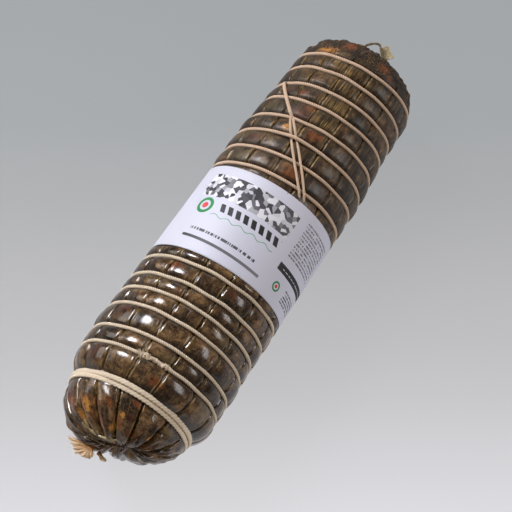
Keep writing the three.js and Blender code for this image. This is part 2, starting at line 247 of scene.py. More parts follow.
def addFloor():
    # A floor that glows with painted light, like a frosted acrylic sheet lit from below on a product
    # table: it takes hardly any shadow, and its glow is paler towards the viewer
    board, shader = newMaterial("acrylic sheet with painted glow")
    place = addNode(board, "TexCoord", out="Object")
    ahead = {0: place, 1: floor["heading"]}
    along = addNode(board, "VectorMath", ahead, out="Value", operation="DOT_PRODUCT")
    share = addNode(board, "MapRange", {0: along, 1: floor["from"], 2: floor["to"]})
    glow = addNode(board, "ValToRGB", {0: share}, stops=floor["tones"])
    # The emission is painted light: the floor glows in these tones, paler towards the viewer
    setSockets(board, shader, {
        "Base Color": floor["sheet"], "Emission Color": glow, "Emission Strength": floor["glow"],
        "Roughness": 0.95, "IOR": 1.49,
    })
    half = floor["size"] / 2
    corners = [(x * half, y * half, 0) for x, y in ((-1, -1), (1, -1), (1, 1), (-1, 1))]
    mesh = bpy.data.meshes.new("floor")
    mesh.from_pydata(corners, [], [(0, 1, 2, 3)])
    mesh.materials.append(board)
    addObject("floor", mesh)


lights = {
    "key": {"aim": (-120, 15, 55), "towards": (0.214, 0.676, 0.704), "distance": 1100,
            "size": (540, 580), "power": 11, "colour": "#f3f4fb", "seenIn": "diffuse"},
    "softbox": {"aim": (-215, 25, 55), "towards": (0.214, 0.676, 0.704), "distance": 1100,
                "size": (560, 700), "power": 2.3, "colour": "#f1f5ff", "seenIn": "gloss", "spread": 28},
    "sideFill": {"aim": (0, -30, 45), "towards": (0.36, -0.78, 0.50), "distance": 1500,
                 "size": (800, 420), "power": 8.5, "colour": "#f3f0f0"},
    "leftFill": {"aim": (-60, 40, 60), "towards": (-0.15, 0.93, 0.33), "distance": 1500,
                 "size": (1100, 420), "power": 6, "colour": "#fbf4ea"},
    "top": {"aim": (60, 40, 50), "towards": (0.85, 0.35, 0.40), "distance": 2200,
            "size": (1500, 1500), "power": 7.5, "colour": "#fff1e2"},
}
sky = {"colour": "#f2e2cf", "strength": 0.25}


def addLights():
    for name, settings in lights.items():
        lamp = bpy.data.lights.new(name, "AREA")
        lamp.shape = "RECTANGLE"
        lamp.size, lamp.size_y = [side / 1000 for side in settings["size"]]
        lamp.energy, lamp.color = settings["power"], linear(settings["colour"])[:3]
        lamp.spread = np.radians(settings.get("spread", 180))
        holder = addObject(name, lamp)
        # The key lamp gives the light, and the softbox in its place gives the wide highlights
        holder.visible_glossy = settings.get("seenIn") != "diffuse"
        holder.visible_diffuse = settings.get("seenIn") != "gloss"
        towards = Vector(settings["towards"]).normalized()
        place = putInFrame(np.array(settings["aim"]) + settings["distance"] * np.array(towards))
        turned = towards.to_track_quat("Z", "Y").to_matrix().to_4x4()
        holder.matrix_world = Matrix.Translation(place) @ turned
    world = bpy.data.worlds.new("studio")
    world.use_nodes = True
    setSockets(world, world.node_tree.nodes["Background"], {0: sky["colour"], 1: sky["strength"]})
    bpy.context.scene.world = world


# The roll

roll = {
    "radius": 58.6, "taper": 0.00875,
    "shoulder": -134, "narrowFrom": 75, "narrowTo": 150, "narrowing": 3.4,
    "shownCreases": (-72, -46, -20, 2, 25, 47), "creaseCount": 15, "columnsPerCrease": 21,
    "pillowRise": 0.0028, "cellLift": 0.9, "cushion": 0.5,
    "grooveDepth": 2.6, "grooveWidth": 2.3, "bandDepth": 2.4, "bandWidth": 5.2,
    "creaseDepth": 1.5, "creaseWidth": 1.2, "ridgeHeight": 0.45, "ridgePlace": 2.1, "ridgeWidth": 0.8,
    # rows to each mm and under the label, and how far the outermost rows lie beyond the band and the
    # last ring
    "rowsPerMm": 0.9, "labelRows": 6, "domeRows": 38, "bandMargin": 5.2, "lastMargin": 3.4,
    # the roll laid out straight: its radius, the length of each dome, and where the gold ends
    "flowRadius": 58, "domeFlow": 75, "goldTo": 160, "goldNone": 172,
    # how golden each crease is, from the first shown crease round the roll
    "gold": (0.25, 0.35, 0.9, 1, 0.8, 0.55, 0.4, 0.6, 0.3, 0.5, 0.7, 0.3, 0.5, 0.6, 0.4),
}
lowerEnd = {
    "side": -1, "base": -159.5, "length": 41, "radius": 51.8, "power": 2.07,
    "aim": (-0.76, -0.30, 0.50), "slit": 14, "slitHeading": (0.535, -0.845, 0),
    "swell": 1.7, "pleat": 2.4, "folds": 0.7, "rough": 0.4, "dip": 4, "seed": 21,
    "creaseFrom": 0.75, "fade": 2,
    # fuller on its left and drawn in low on its right: directions, and mm in or out
    "pushes": (((-0.54, 0.84, 0), 2.5), ((-0.77, -0.49, -0.40), -5.0)), "pushReach": 0.25,
}
upperEnd = {
    "side": 1, "base": 164, "length": 36.5, "radius": 53.7, "power": 2.9,
    "aim": (0.87, -0.09, 0.48), "slit": 0, "slitHeading": (0, 1, 0),
    "swell": 0.2, "pleat": 0.25, "folds": 0.6, "rough": 1.35, "dip": 5, "seed": 31,
    "creaseFrom": 0.94, "fade": 9,
    "pushes": (), "pushReach": 0.25,
}

# Each ring's plane: its place on top, how much further along the +Y side lies, and how much further
# along the height of the axis lies
ringPlanes = {
    "lower_1": (-132.4, -5.3, -5.2), "lower_2": (-117.6, -4.7, -4.8), "lower_3": (-97.5, -3.4, -4.1),
    "lower_4": (-82.2, -3.5, -4.1), "lower_5": (-68.4, -4.1, -2.8), "lower_6": (-51.5, -4.4, -1.5),
    "upper_1": (43.9, -3.8, 1.7), "upper_2": (61.8, -3.6, 3.7), "upper_3": (79.9, -3.7, 2.8),
    "upper_4": (97.5, -4.5, 3.3), "upper_5": (116.6, -3.2, 5.4), "upper_6": (133.5, -3.1, 4.2),
    "upper_7": (151.7, -1.6, 3.9), "upper_8": (167.4, -2.6, 6.4),
}
bandPlane = (-157.3, -4.1, -5.7)
labelPlanes = {"lower": (-43.1, -2.6, -0.8), "upper": (37.1, -1.1, 0.8)}


def planeAt(plane, angle):
    # place on top + side * sine of the angle + back * (1 - cosine of the angle)
    top, side, back = plane
    return top + side * np.sin(angle) + back * (1 - np.cos(angle))


def endRadius(end, x):
    along = np.clip(np.abs(x - end["base"]) / end["length"], 0, 1)
    return end["radius"] * (1 - along ** end["power"]) ** (1 / end["power"])


def crestRadius(x):
    # A taper less a smooth narrowing, a parabola down to the lower end, and a superellipse at both ends
    taper = roll["radius"] - roll["taper"] * x
    middle = taper - roll["narrowing"] * smoothStep(x, roll["narrowFrom"], roll["narrowTo"])
    start, base = roll["shoulder"], lowerEnd["base"]
    fall = np.clip((start - x) / (start - base), 0, 1)
    edge = roll["radius"] - roll["taper"] * start
    lower = edge - (edge - lowerEnd["radius"]) * fall ** 2
    radius = np.where(x < start, lower, middle)
    radius = np.where(x < base, endRadius(lowerEnd, x), radius)
    return np.where(x > upperEnd["base"], endRadius(upperEnd, x), radius)


def flattened(radius, angle, clearance=0):
    # The table, or a level a little above it, cuts the underside off flat
    down = np.maximum(-np.cos(angle), 1e-6)
    return np.where(np.cos(angle) < 0, np.minimum(radius, (axisHeight - clearance) / down), radius)


def crowd(shares):
    # Even shares drawn towards 0 and 1: q - 0.6 sin(2 pi q) / (2 pi)
    return shares - 0.6 * np.sin(turn * shares) / turn


def rollColumns():
    # Angles of the creases, then columns that crowd towards each crease
    shown = list(roll["shownCreases"])
    hidden = roll["creaseCount"] - len(shown)
    step = (360 + shown[0] - shown[-1]) / (hidden + 1)
    creases = np.array(shown + [shown[-1] + step * (i + 1) for i in range(hidden)] + [shown[0] + 360])
    q = np.arange(roll["columnsPerCrease"]) / roll["columnsPerCrease"]
    crowded = crowd(q)
    width = np.diff(creases)[:, None] + 0 * crowded
    angles = creases[:-1, None] + width * crowded
    number = np.arange(roll["creaseCount"])[:, None] + 0 * q.astype(int)
    share = crowded + 0 * width
    return np.radians(angles.ravel()), share.ravel(), np.radians(width.ravel()), number.ravel()


def barrelRows():
    # The stops are the band, the rings and the label's edges. Rows lie between each two of them,
    # crowded towards the twine as the columns are towards the creases.
    start = np.add(bandPlane, (-roll["bandMargin"], 0, 0))
    finish = np.add(ringPlanes["upper_8"], (roll["lastMargin"], 0, 0))
    lower = [plane for key, plane in ringPlanes.items() if key.startswith("lower")]
    upper = [plane for key, plane in ringPlanes.items() if key.startswith("upper")]
    stops = np.array([start, bandPlane, *lower, labelPlanes["lower"], labelPlanes["upper"], *upper, finish])
    underLabel = len(lower) + 2
    blocks = []
    for cell, (a, b) in enumerate(zip(stops[:-1], stops[1:])):
        covered = cell == underLabel
        width = b[0] - a[0]
        count = roll["labelRows"] if covered else max(4, round(width * roll["rowsPerMm"]))
        q = np.arange(count) / count
        q = q if covered else crowd(q)
        planes = a + (b - a) * q[:, None]
        rest = [q, np.full(count, width), np.full(count, cell), np.full(count, float(covered))]
        blocks.append(np.column_stack([planes, *rest]))
    blocks.append(np.array([[*finish, 1, roll["lastMargin"], len(stops) - 2, 0]]))
    return np.concatenate(blocks)


def distanceToTwine(x, angle, planes):
    return np.min([np.abs(x - planeAt(plane, angle)) for plane in planes], axis=0)


def rollBarrel(angle, share, creaseWidth, number):
    rows = barrelRows()
    top, side, back, along, width, cell, covered = [rows[:, k][:, None] for k in range(7)]
    theta = angle[None, :]
    x = planeAt((top, side, back), theta)
    # Pillow: a parabola between two rings. Cushion: a half sine between two creases. Each cell of
    # rings and creases also swells by its own random amount.
    bow = 4 * along * (1 - along)
    arch = np.sin(np.pi * share)[None, :]
    lift = np.random.default_rng(8).uniform(0.2, 1.0, (40, roll["creaseCount"]))
    swelling = roll["cellLift"] * lift[cell.astype(int), number[None, :]] * bow * arch
    pillow = roll["pillowRise"] * np.minimum(width, 30) ** 2 * bow + roll["cushion"] * arch ** 0.7
    # Unevenness: broad and middling waves everywhere, and fine ones on the thin half
    uneven = 0.35 * waves(3, x, theta, 10, (25, 90), (2, 7))
    uneven = uneven + 0.1 * waves(4, x, theta, 14, (20, 70), (7, 18))
    uneven = uneven + 0.07 * waves(5, x, theta, 18, (6, 14), (12, 40)) * smoothStep(x, -60, 40)
    edge = np.minimum(share, 1 - share) * creaseWidth * roll["radius"]  # mm to the nearest crease
    crease = roll["creaseDepth"] * bell(edge, roll["creaseWidth"])
    crease = crease - roll["ridgeHeight"] * bell(edge - roll["ridgePlace"], roll["ridgeWidth"])
    change = 0.75 + 0.35 * waves(6, x, theta, 6, (18, 50), (3, 15))
    crease = crease[None, :] * (1 - 0.7 * covered) * change
    nearest = distanceToTwine(x, theta, ringPlanes.values())
    fromBand = distanceToTwine(x, theta, [bandPlane])
    groove = roll["grooveDepth"] * bell(nearest, roll["grooveWidth"])
    groove = np.maximum(groove, roll["bandDepth"] * bell(fromBand, roll["bandWidth"]))
    relief = (pillow + swelling + uneven) * (1 - covered) - 0.3 * covered
    radius = flattened(flattened(crestRadius(x) + relief, theta) - groove - crease, theta)
    return onRoll(x, theta, radius), x, np.minimum(nearest, np.maximum(fromBand - 2, 0))


def domeReach(end, direction):
    # Distance from the end's middle to its superellipse along a unit direction
    along = direction[..., 0] * end["side"]
    across = np.hypot(direction[..., 1], direction[..., 2])
    power = end["power"]
    total = (np.maximum(along, 0) / end["length"]) ** power + (across / end["radius"]) ** power
    return np.where(along > 0, total ** (-1 / power), end["radius"] / np.maximum(across, 1e-6))


def rollDome(end, baseLoop, share, angle, creaseWidth):
    # Each row moves a share of the way from the base loop's direction to the gather, which is a short
    # slit: one side of the end is drawn to one end of it, the other side to the other. Lobes swell
    # between the pleats, fine folds gather towards the slit, and the skin dips there.
    centre = np.array([end["base"], 0, 0])
    aim = np.array(end["aim"]) * np.linalg.norm([end["length"], end["radius"]]) / 1.5
    aim = unit(aim + end["slit"] * np.sin(-angle)[:, None] * np.array(end["slitHeading"]))
    start = baseLoop - centre
    startReach = np.linalg.norm(start, axis=1)
    start = start / startReach[:, None]
    offset = startReach - domeReach(end, start)
    part = (1 - np.arange(1, roll["domeRows"] + 1) / (roll["domeRows"] + 0.4))[:, None]
    direction = unit(part[..., None] * start[None] + (1 - part[..., None]) * aim[None])
    fold = np.sin(np.pi * part ** 0.8)
    edge = np.minimum(share, 1 - share) * creaseWidth * roll["radius"]
    edge = edge[None, :] * (0.25 + 0.75 * part)
    lobes = end["swell"] * fold * np.sin(np.pi * share)[None, :] ** 0.7
    pleats = end["pleat"] * smoothStep(part, 0.02, 0.2) * smoothStep(1 - part, 0, 0.25) * bell(edge, 1.5)
    crease = roll["creaseDepth"] * bell(edge, roll["creaseWidth"])
    pleats = pleats + crease * smoothStep(part, end["creaseFrom"], 1)
    theta = angle[None, :]
    folds = end["folds"] * (1 - part) ** 1.2 * smoothStep(part, 0.03, 0.2)
    folds = folds * waves(end["seed"], 60 * part, theta, 8, (50, 120), (24, 46))
    rough = end["rough"] * waves(end["seed"] + 1, 60 * part, theta, 16, (7, 26), (5, 22)) * (1 - part ** 6)
    relief = lobes - pleats + folds + rough - end["dip"] * bell(part, 0.14)
    reach = domeReach(end, direction) + offset[None, :] * part ** end["fade"] + relief
    for towards, amount in end["pushes"]:
        reach = reach + amount * fold * bell(1 - direction @ np.array(towards), end["pushReach"])
    return centre + direction * reach[..., None], part + 0 * theta


# Stains on the casing: place along the laid-out roll, degrees round it, and half length and half width
# in mm
stains = {
    "rust": ((-180, 10, 6, 6), (-193, 60, 11, 10), (-187, 26, 7, 7), (-165, -17, 7, 6),
             (-145, -18, 4, 8), (-201, 22, 9, 10), (-196, 0, 8, 8), (-186, 44, 7, 7),
             (52, -11, 7, 9), (90, -9, 6, 9), (-60, 22, 5, 8), (187, -27, 9, 9), (178, -36, 6, 5),
             (191, 17, 10, 10), (113, 5, 5, 8), (-203, -20, 9, 9), (-212, -55, 9, 8), (122, 20, 4, 7)),
    "amber": ((-192, 36, 7, 7), (-196, -43, 6, 4), (171, 31, 8, 15), (-205, 50, 6, 4), (86, 14, 4, 4),
              (-205, 5, 5, 6), (-186, -5, 4, 3)),
    "maroon": ((-184, 62, 6, 6), (-147, 37, 8, 9), (-57, -26, 5, 7), (-107, 38, 7, 8),
               (103, 9, 5, 10), (-186, -12, 5, 5), (-78, 4, 4, 8), (68, 34, 4, 10)),
    "cream": ((-217, 34, 5, 4), (-212, 50, 5, 3), (-221, 10, 5, 4), (-228, -30, 5, 6),
              (-215, -62, 5, 4)),
    "olive": ((-127, -17, 6, 12), (-92, -45, 8, 10), (-110, 8, 6, 8), (-140, -62, 12, 14),
              (-66, -38, 5, 9), (50, 30, 6, 14), (70, 50, 7, 16), (-75, 25, 5, 9),
              (-172, -55, 10, 12), (104, 40, 7, 12)),
    "soot": ((190, 32, 6, 6), (180, 2, 9, 10), (196, -18, 9, 9), (186, -50, 10, 14),
             (-191, 12, 5, 3), (-208, -25, 5, 4), (173, 48, 6, 9)),
    "fibres": ((156, -2, 12, 12), (140, -6, 9, 12), (122, -9, 7, 12), (165, 12, 8, 10),
               (104, -12, 6, 10)),
}


def stainShare(x, angle, patches):
    # The strongest of the patches, each exp(-(along / half length)2 - (around / half width)2)
    found = np.zeros(np.broadcast(x, angle).shape)
    for place, degrees, halfLength, halfWidth in patches:
        around = (angle - np.radians(degrees) + np.pi) % turn - np.pi
        found = np.maximum(found, bell(x - place, halfLength) * bell(around * roll["radius"], halfWidth))
    return found


def addRoll(material):
    angle, share, width, number = rollColumns()
    barrel, x, nearest = rollBarrel(angle, share, width, number)
    lower, lowerPart = rollDome(lowerEnd, barrel[0], share, angle, width)
    upper, upperPart = rollDome(upperEnd, barrel[-1], share, angle, width)
    points = np.concatenate([lower[::-1], barrel, upper])
    rowCount, columnCount = points.shape[:2]
    part = np.concatenate([lowerPart[::-1], np.ones_like(x), upperPart])
    lowerOut = roll["domeFlow"] * (1 - lowerPart[::-1])
    upperOut = roll["domeFlow"] * (1 - upperPart)
    ringGap = np.concatenate([3 + lowerOut, nearest, 3 + upperOut])
    signed = np.where(share < 0.5, share, share - 1) * width * roll["radius"]
    # flow: a place on the roll laid out straight, so that streaks run lengthwise and meet at each gather
    ends = np.concatenate([x[:1] - lowerOut, x, x[-1:] + upperOut])
    flow = onRoll(ends, angle + 0 * ends, roll["flowRadius"])
    faces = gridFaces(rowCount, columnCount, False, True)
    j = np.arange(columnCount)
    k = (j + 1) % columnCount
    last = (rowCount - 1) * columnCount
    lowerCap = np.stack([j, k, np.full_like(j, rowCount * columnCount)], axis=1)
    upperCap = np.stack([last + k, last + j, np.full_like(j, rowCount * columnCount + 1)], axis=1)

    def withPoles(values):
        # The two end points of the mesh take the mean of the row beside them
        values = np.broadcast_to(values, (rowCount, columnCount) + values.shape[2:])
        flat = values.reshape((-1,) + values.shape[2:])
        return np.concatenate([flat, values[0].mean(0)[None], values[-1].mean(0)[None]])

    nearestCrease = (number + (share > 0.5)) % roll["creaseCount"]
    golden = smoothStep(ends, roll["goldNone"], roll["goldTo"])
    golden = np.array(roll["gold"])[nearestCrease][None, :] * golden
    attributes = {
        "flow": withPoles(flow), "ringGap": withPoles(ringGap), "golden": withPoles(golden),
        "seam": withPoles(signed[None, :] * (0.3 + 0.7 * part)),
    }
    for kind, patches in stains.items():
        attributes[kind] = withPoles(stainShare(ends, angle[None, :], patches))
    mesh = (withPoles(points), [faces, lowerCap, upperCap], attributes, None)
    print("casing rows, columns", rowCount, columnCount)
    buildPiece("casing", mesh, material, ["roll"])


# The skin drawn together over the near gather: each fold's places from the roll's middle (mm), its
# radius, and how much cream and rust it has
gatherFolds = (
    {"radius": 1.3, "cream": 0.95, "rust": 0, "places": (
        (-193, 17, 31), (-193.4, 14.3, 29.9), (-194, 7.9, 27.8), (-194.2, 0.3, 29.1),
        (-193.2, -5.2, 31), (-192, -9.5, 31.6), (-189.8, -15, 33))},
    {"radius": 1.1, "cream": 0.55, "rust": 0.5, "places": (
        (-198.4, 10.5, 22), (-197.3, 6.5, 20.6), (-196.4, 2.3, 18.4), (-196, -2.1, 17.8),
        (-194.8, -7.6, 18.8), (-192.9, -11.5, 19.8), (-190.6, -16, 21.5))},
    {"radius": 1.2, "cream": 0.1, "rust": 0.8, "places": (
        (-191.6, -13, 22.5), (-193.6, -10.4, 19), (-196.8, -4.6, 14.6), (-198.2, 2.4, 9),
        (-198.4, 4.6, 5.4))},
    {"radius": 1.0, "cream": 0.35, "rust": 0.6, "places": (
        (-191.2, -15.4, 18.5), (-194.6, -10.2, 15), (-197.6, -3.2, 10), (-198.6, 3, 5))},
    {"radius": 1.5, "cream": 0.1, "rust": 0.5, "places": (
        (-183.4, -26, 37.5), (-187.9, -21.4, 29.4), (-191.8, -18.4, 19.6), (-194.2, -13.4, 13),
        (-196.6, -6.4, 8))},
)


def addGatherFolds(material):
    # Each fold is a thick cord of skin, half sunk in the casing, that thins out at both ends
    count, sides = 60, 14
    share = np.linspace(0, 1, count)
    thinning = 0.35 + 0.65 * np.sin(np.pi * share) ** 0.5
    uneven = 1 + 0.12 * np.sin(share * 19) + 0.08 * np.sin(share * 37 + 1)
    parts = []
    for fold in gatherFolds:
        path = smoothPath(fold["places"], count)
        outward = path - np.array([lowerEnd["base"], 0, 0])
        radius = fold["radius"] * thinning * uneven
        mesh = cordMesh(path, outward, radius, False, plies=2, pitch=40, groove=0.2, sides=sides)
        points, faces, _, uv = mesh
        angle = np.arctan2(path[:, 1], path[:, 2])
        flow = onRoll(path[:, 0] - 15, angle, roll["flowRadius"])
        aside = points.reshape(-1, 3) - np.repeat(path, sides, axis=0)
        # The folds lie far from any crease or twine
        values = dict.fromkeys(stains, 0) | {"seam": 40, "ringGap": 40, "golden": 0}
        values |= {"cream": fold["cream"], "rust": fold["rust"]}
        marks = {key: np.full(count * sides, float(value)) for key, value in values.items()}
        marks["flow"] = np.repeat(flow, sides, axis=0) + 0.8 * aside
        parts.append((points, faces, marks, uv))
    buildPiece("gather_folds", joinParts(parts), material, [])


stainColours = {
    "olive": ("#66583a", 0.5), "rust": ("#7c4423", 0.66), "maroon": ("#4a1e16", 0.6),
    "amber": ("#c4873c", 0.82), "cream": ("#b5a071", 0.75), "soot": ("#130e0a", 0.8),
}
casingTones = {
    "near": ((0, "#1a110b"), (1, "#876847"), (0.35, "#3a291d"), (0.65, "#59442e")),
    "far": ((0, "#110a05"), (1, "#604529"), (0.35, "#27190d"), (0.65, "#3c2a18")),
    "tip": ((0, "#0f0a07"), (1, "#a38458"), (0.42, "#21150d"), (0.68, "#4a331f")),
}


def casingMaterial():
    # Collagen casing dried on cured meat: a thin, hard, brown skin, wet and glossy on the thick half and
    # duller on the thin one, cloudy where the meat shows through, with rust where fat has oozed
    skin, shader = newMaterial("dried collagen casing")
    flow = addNode(skin, "Attribute", out="Vector", attribute_name="flow")
    read = {name: addNode(skin, "Attribute", out="Fac", attribute_name=name)
            for name in ("seam", "ringGap", "golden", *stains)}
    along = addNode(skin, "SeparateXYZ", {0: flow})
    far = addNode(skin, "MapRange", {0: along, 1: -40, 2: 60})
    tip = addNode(skin, "MapRange", {0: along, 1: 168, 2: 180})
    # Clouds of about 22 mm, mottling of 5 mm and grain of 1.5 mm in the shares 1, 0.65 and 0.5, and
    # wrinkles of 2.4 mm for the relief
    cloud, mottle, grain, wrinkle = [
        addNode(skin, "TexNoise", {"Vector": flow, "Scale": scale, "Detail": detail, "Roughness": 0.6})
        for scale, detail in ((0.045, 4), (0.2, 3), (0.7, 3), (0.42, 3))]
    blend = addNode(skin, "Math", {0: mottle, 1: 0.65, 2: cloud}, **timesPlus)
    blend = addNode(skin, "Math", {0: grain, 1: 0.5, 2: blend}, **timesPlus)
    blend = addNode(skin, "MapRange", {0: blend, 1: 0.90, 2: 1.27})
    nearColour = addNode(skin, "ValToRGB", {0: blend}, stops=casingTones["near"])
    farColour = addNode(skin, "ValToRGB", {0: blend}, stops=casingTones["far"])
    colour = addNode(skin, "Mix", {0: far, 6: nearColour, 7: farColour}, **inColour)
    # Faint streaks 2 mm across and 16 mm long, plainer on the thin half
    lengthwise = addNode(skin, "VectorMath", {0: flow, 1: (0.12, 1, 1)}, **times)
    streak = addNode(skin, "TexNoise", {"Vector": lengthwise, "Scale": 0.5, "Detail": 4, "Roughness": 0.6})
    streakMost = addNode(skin, "MapRange", {0: far, 3: 0.22, 4: 0.5})
    streakShare = addNode(skin, "MapRange", {0: streak, 1: 0.50, 2: 0.72, 4: streakMost})
    colour = addNode(skin, "Mix", {0: streakShare, 6: colour, 7: "#7d6a45"}, **inColour)
    # The far end is rough and nearly black, speckled by the grain
    speckle = addNode(skin, "MapRange", {0: grain, 1: 0.36, 2: 0.68})
    tipColour = addNode(skin, "ValToRGB", {0: speckle}, stops=casingTones["tip"])
    tipShare = addNode(skin, "Math", {0: tip, 1: 0.95}, **times)
    colour = addNode(skin, "Mix", {0: tipShare, 6: colour, 7: tipColour}, **inColour)
    # Folds: two wavering gold ridges, broken every 8 mm or so, with a dark line of painted shade in the
    # groove between them
    waver = addNode(skin, "TexNoise", {"Vector": flow, "Scale": 0.12, "Detail": 2})
    waver = addNode(skin, "MapRange", {0: waver, 3: -1.5, 4: 1.5}, clamp=False)
    fromSeam = addNode(skin, "Math", {0: read["seam"], 1: waver}, operation="ADD")
    fromSeam = addNode(skin, "Math", {0: fromSeam}, operation="ABSOLUTE")
    fromRidge = addNode(skin, "Math", {0: fromSeam, 1: 1.25}, operation="SUBTRACT")
    fromRidge = addNode(skin, "Math", {0: fromRidge}, operation="ABSOLUTE")
    ridge = addNode(skin, "MapRange", {0: fromRidge, 1: 0.75, 2: 0.1}, **smooth)
    broken = addNode(skin, "MapRange", {0: mottle, 1: 0.40, 2: 0.60, 3: 0.1, 4: 1})
    gold = addNode(skin, "Math", {0: ridge, 1: broken}, **times)
    gold = addNode(skin, "Math", {0: gold, 1: read["golden"]}, **times)
    # Painted shade: a dark line along each crease's groove and each pleat, fading out on the far tip
    creaseShadeMost = addNode(skin, "MapRange", {0: tip, 3: 0.7, 4: 0})
    creaseShade = addNode(skin, "MapRange", {0: fromSeam, 1: 1.1, 2: 0.1, 4: creaseShadeMost}, **smooth)
    halo = addNode(skin, "MapRange", {0: fromSeam, 1: 6, 2: 1.5, 4: read["golden"]}, **smooth)
    halo = addNode(skin, "Math", {0: halo, 1: 0.35}, **times)
    layers = [(halo, "#5a4326")]
    # Stains, with soft edges torn by the mottling and the grain
    torn = addNode(skin, "Math", {0: grain, 1: 0.8, 2: mottle}, **timesPlus)
    torn = addNode(skin, "MapRange", {0: torn, 1: 0.6, 2: 1.2, 3: -0.5, 4: 0.5})
    for kind, (stainColour, strength) in stainColours.items():
        share = addNode(skin, "Math", {0: torn, 1: 0.9, 2: read[kind]}, **timesPlus)
        share = addNode(skin, "MapRange", {0: share, 1: 0.25, 2: 1.0, 4: strength}, **smooth)
        layers.append((share, stainColour))
    # Dried fibres 0.8 mm across in the places named above, and painted shade beside the twine
    drawn = addNode(skin, "VectorMath", {0: flow, 1: (0.05, 1, 1)}, **times)
    fibre = addNode(skin, "TexNoise", {"Vector": drawn, "Scale": 1.2, "Detail": 2, "Distortion": 0.5})
    fibre = addNode(skin, "MapRange", {0: fibre, 1: 0.50, 2: 0.60, 4: 0.8})
    fibre = addNode(skin, "Math", {0: fibre, 1: read["fibres"]}, **times)
    # Painted shade: the casing darkens within 5.5 mm of the rings and the band
    twineShade = addNode(skin, "MapRange", {0: read["ringGap"], 1: 5.5, 2: 1.5, 4: 0.72}, **smooth)
    layers += [(creaseShade, "#120b07"), (gold, "#a68a55"), (fibre, "#a3854f"), (twineShade, "#1a110a")]
    for share, tone in layers:
        colour = addNode(skin, "Mix", {0: share, 6: colour, 7: tone}, **inColour)
    gloss = addNode(skin, "MapRange", {0: far, 3: 0.13, 4: 0.36})
    gloss = addNode(skin, "Math", {0: tip, 1: 0.15, 2: gloss}, **timesPlus)
    gloss = addNode(skin, "Math", {0: mottle, 1: 0.1, 2: gloss}, use_clamp=True, **timesPlus)
    # Relief of 0.05 to 0.2 mm: wrinkles that are fainter on the thick half, streaks, gold ridges, and
    # the grain of the far end
    wrinkleMost = addNode(skin, "MapRange", {0: far, 3: 0.07, 4: 0.8})
    height = addNode(skin, "Math", {0: wrinkle, 1: wrinkleMost}, **times)
    tipGrain = addNode(skin, "Math", {0: tip, 1: grain}, **times)
    for relief, amount in ((streak, 0.25), (gold, 0.8), (tipGrain, 3.0)):
        height = addNode(skin, "Math", {0: relief, 1: amount, 2: height}, **timesPlus)
    bump = addNode(skin, "Bump", {"Strength": 0.6, "Distance": 0.00025, "Height": height})
    setSockets(skin, shader, {"Base Color": colour, "Roughness": gloss, "IOR": 1.46, "Normal": bump})
    return skin


# Twine

twine = {
    "radius": 1.6, "proud": 0.8, "clearance": 0.4, "steps": 560,
    "plies": 3, "pitch": 5.6, "groove": 0.27, "wander": 0.22,
    "humpAngle": 2.5, "humpWidth": 10, "humpHeight": 3.8,
}
band = {"spacing": 3.5, "halfWidth": 2.1, "height": 1.3, "groove": 0.14, "power": 0.6,
        "hatch": 3.4}


def cordMesh(path, outward, radius, closed, plies=3, pitch=5.2, groove=0.14, sides=14, wide=1, power=1,
             weave=None):
    # A section of round plies carried along the path and turned with it: the radius falls by the
    # groove's share between two plies, and the plies go once round in each pitch. The cosine is raised
    # to the power, which makes a wide section flat on top. A weave is a number of mm to the side: its
    # grooves run slantwise over the flat top, one in each pitch along and across.
    if closed:
        tangent = np.roll(path, -1, axis=0) - np.roll(path, 1, axis=0)
    else:
        tangent = np.gradient(path, axis=0)
    tangent = unit(tangent)
    across = unit(np.cross(tangent, outward))
    up = np.cross(across, tangent)
    steps = np.linalg.norm(np.diff(path, axis=0, append=path[:1]), axis=1)
    travelled = np.concatenate([[0], np.cumsum(steps)[:-1]])
    if closed:
        pitch = steps.sum() / max(1, round(steps.sum() / pitch))
    spin = evenAngles(sides)[None, :]
    twist = plies * (spin - turn * travelled[:, None] / pitch)
    thickness = np.broadcast_to(radius, (len(path),))[:, None]
    rise, reach = np.sign(np.cos(spin)) * np.abs(np.cos(spin)) ** power, np.sin(spin)
    if weave is not None:
        twist = turn * (travelled[:, None] + weave + wide * thickness * reach) / pitch
    ply = 1 - groove * np.abs(np.sin(twist / 2)) ** 3
    size = (thickness * ply)[..., None]
    offset = rise[..., None] * up[:, None] + wide * reach[..., None] * across[:, None]
    points = path[:, None] + size * offset
    faces = [gridFaces(len(path), sides, closed, True)]
    if not closed:
        first = np.arange(sides)[None, :]
        faces += [first, first[:, ::-1] + (len(path) - 1) * sides]
    along = travelled[:, None] + 0 * spin
    uv = np.stack([along / 10, spin / turn + 0 * along], axis=-1)
    # The shade mask is 0 on a ply's crest and 1 deep in the groove between plies, where the finishes paint
    # shade
    return points, faces, {"valley": ((1 - ply) / groove).ravel()}, uv


def ringPath(plane, angle, hump=False, thickness=1.6):
    x = planeAt(plane, angle)
    radius = crestRadius(x) + twine["proud"] - thickness
    radius = flattened(radius, angle, twine["clearance"] + thickness)
    if hump:
        signed = np.degrees((angle + np.pi) % turn - np.pi)
        radius = radius + twine["humpHeight"] * bell(signed - twine["humpAngle"], twine["humpWidth"])
    return onRoll(x, angle, radius), onRoll(0 * x, angle, 1 + 0 * x)


def addRing(name, plane, material, seed, hump=False):
    # The ring wanders a little to each side, by a sum of three sines round it
    angle = evenAngles(twine["steps"])
    path, outward = ringPath(plane, angle, hump)
    path[:, 0] += twine["wander"] * waves(seed, 0, angle, 3, (50, 60), (4, 13))
    mesh = cordMesh(path, outward, twine["radius"], True, twine["plies"], twine["pitch"], twine["groove"])
    buildPiece("twine_" + name, mesh, material, ["twine_ring_" + name])


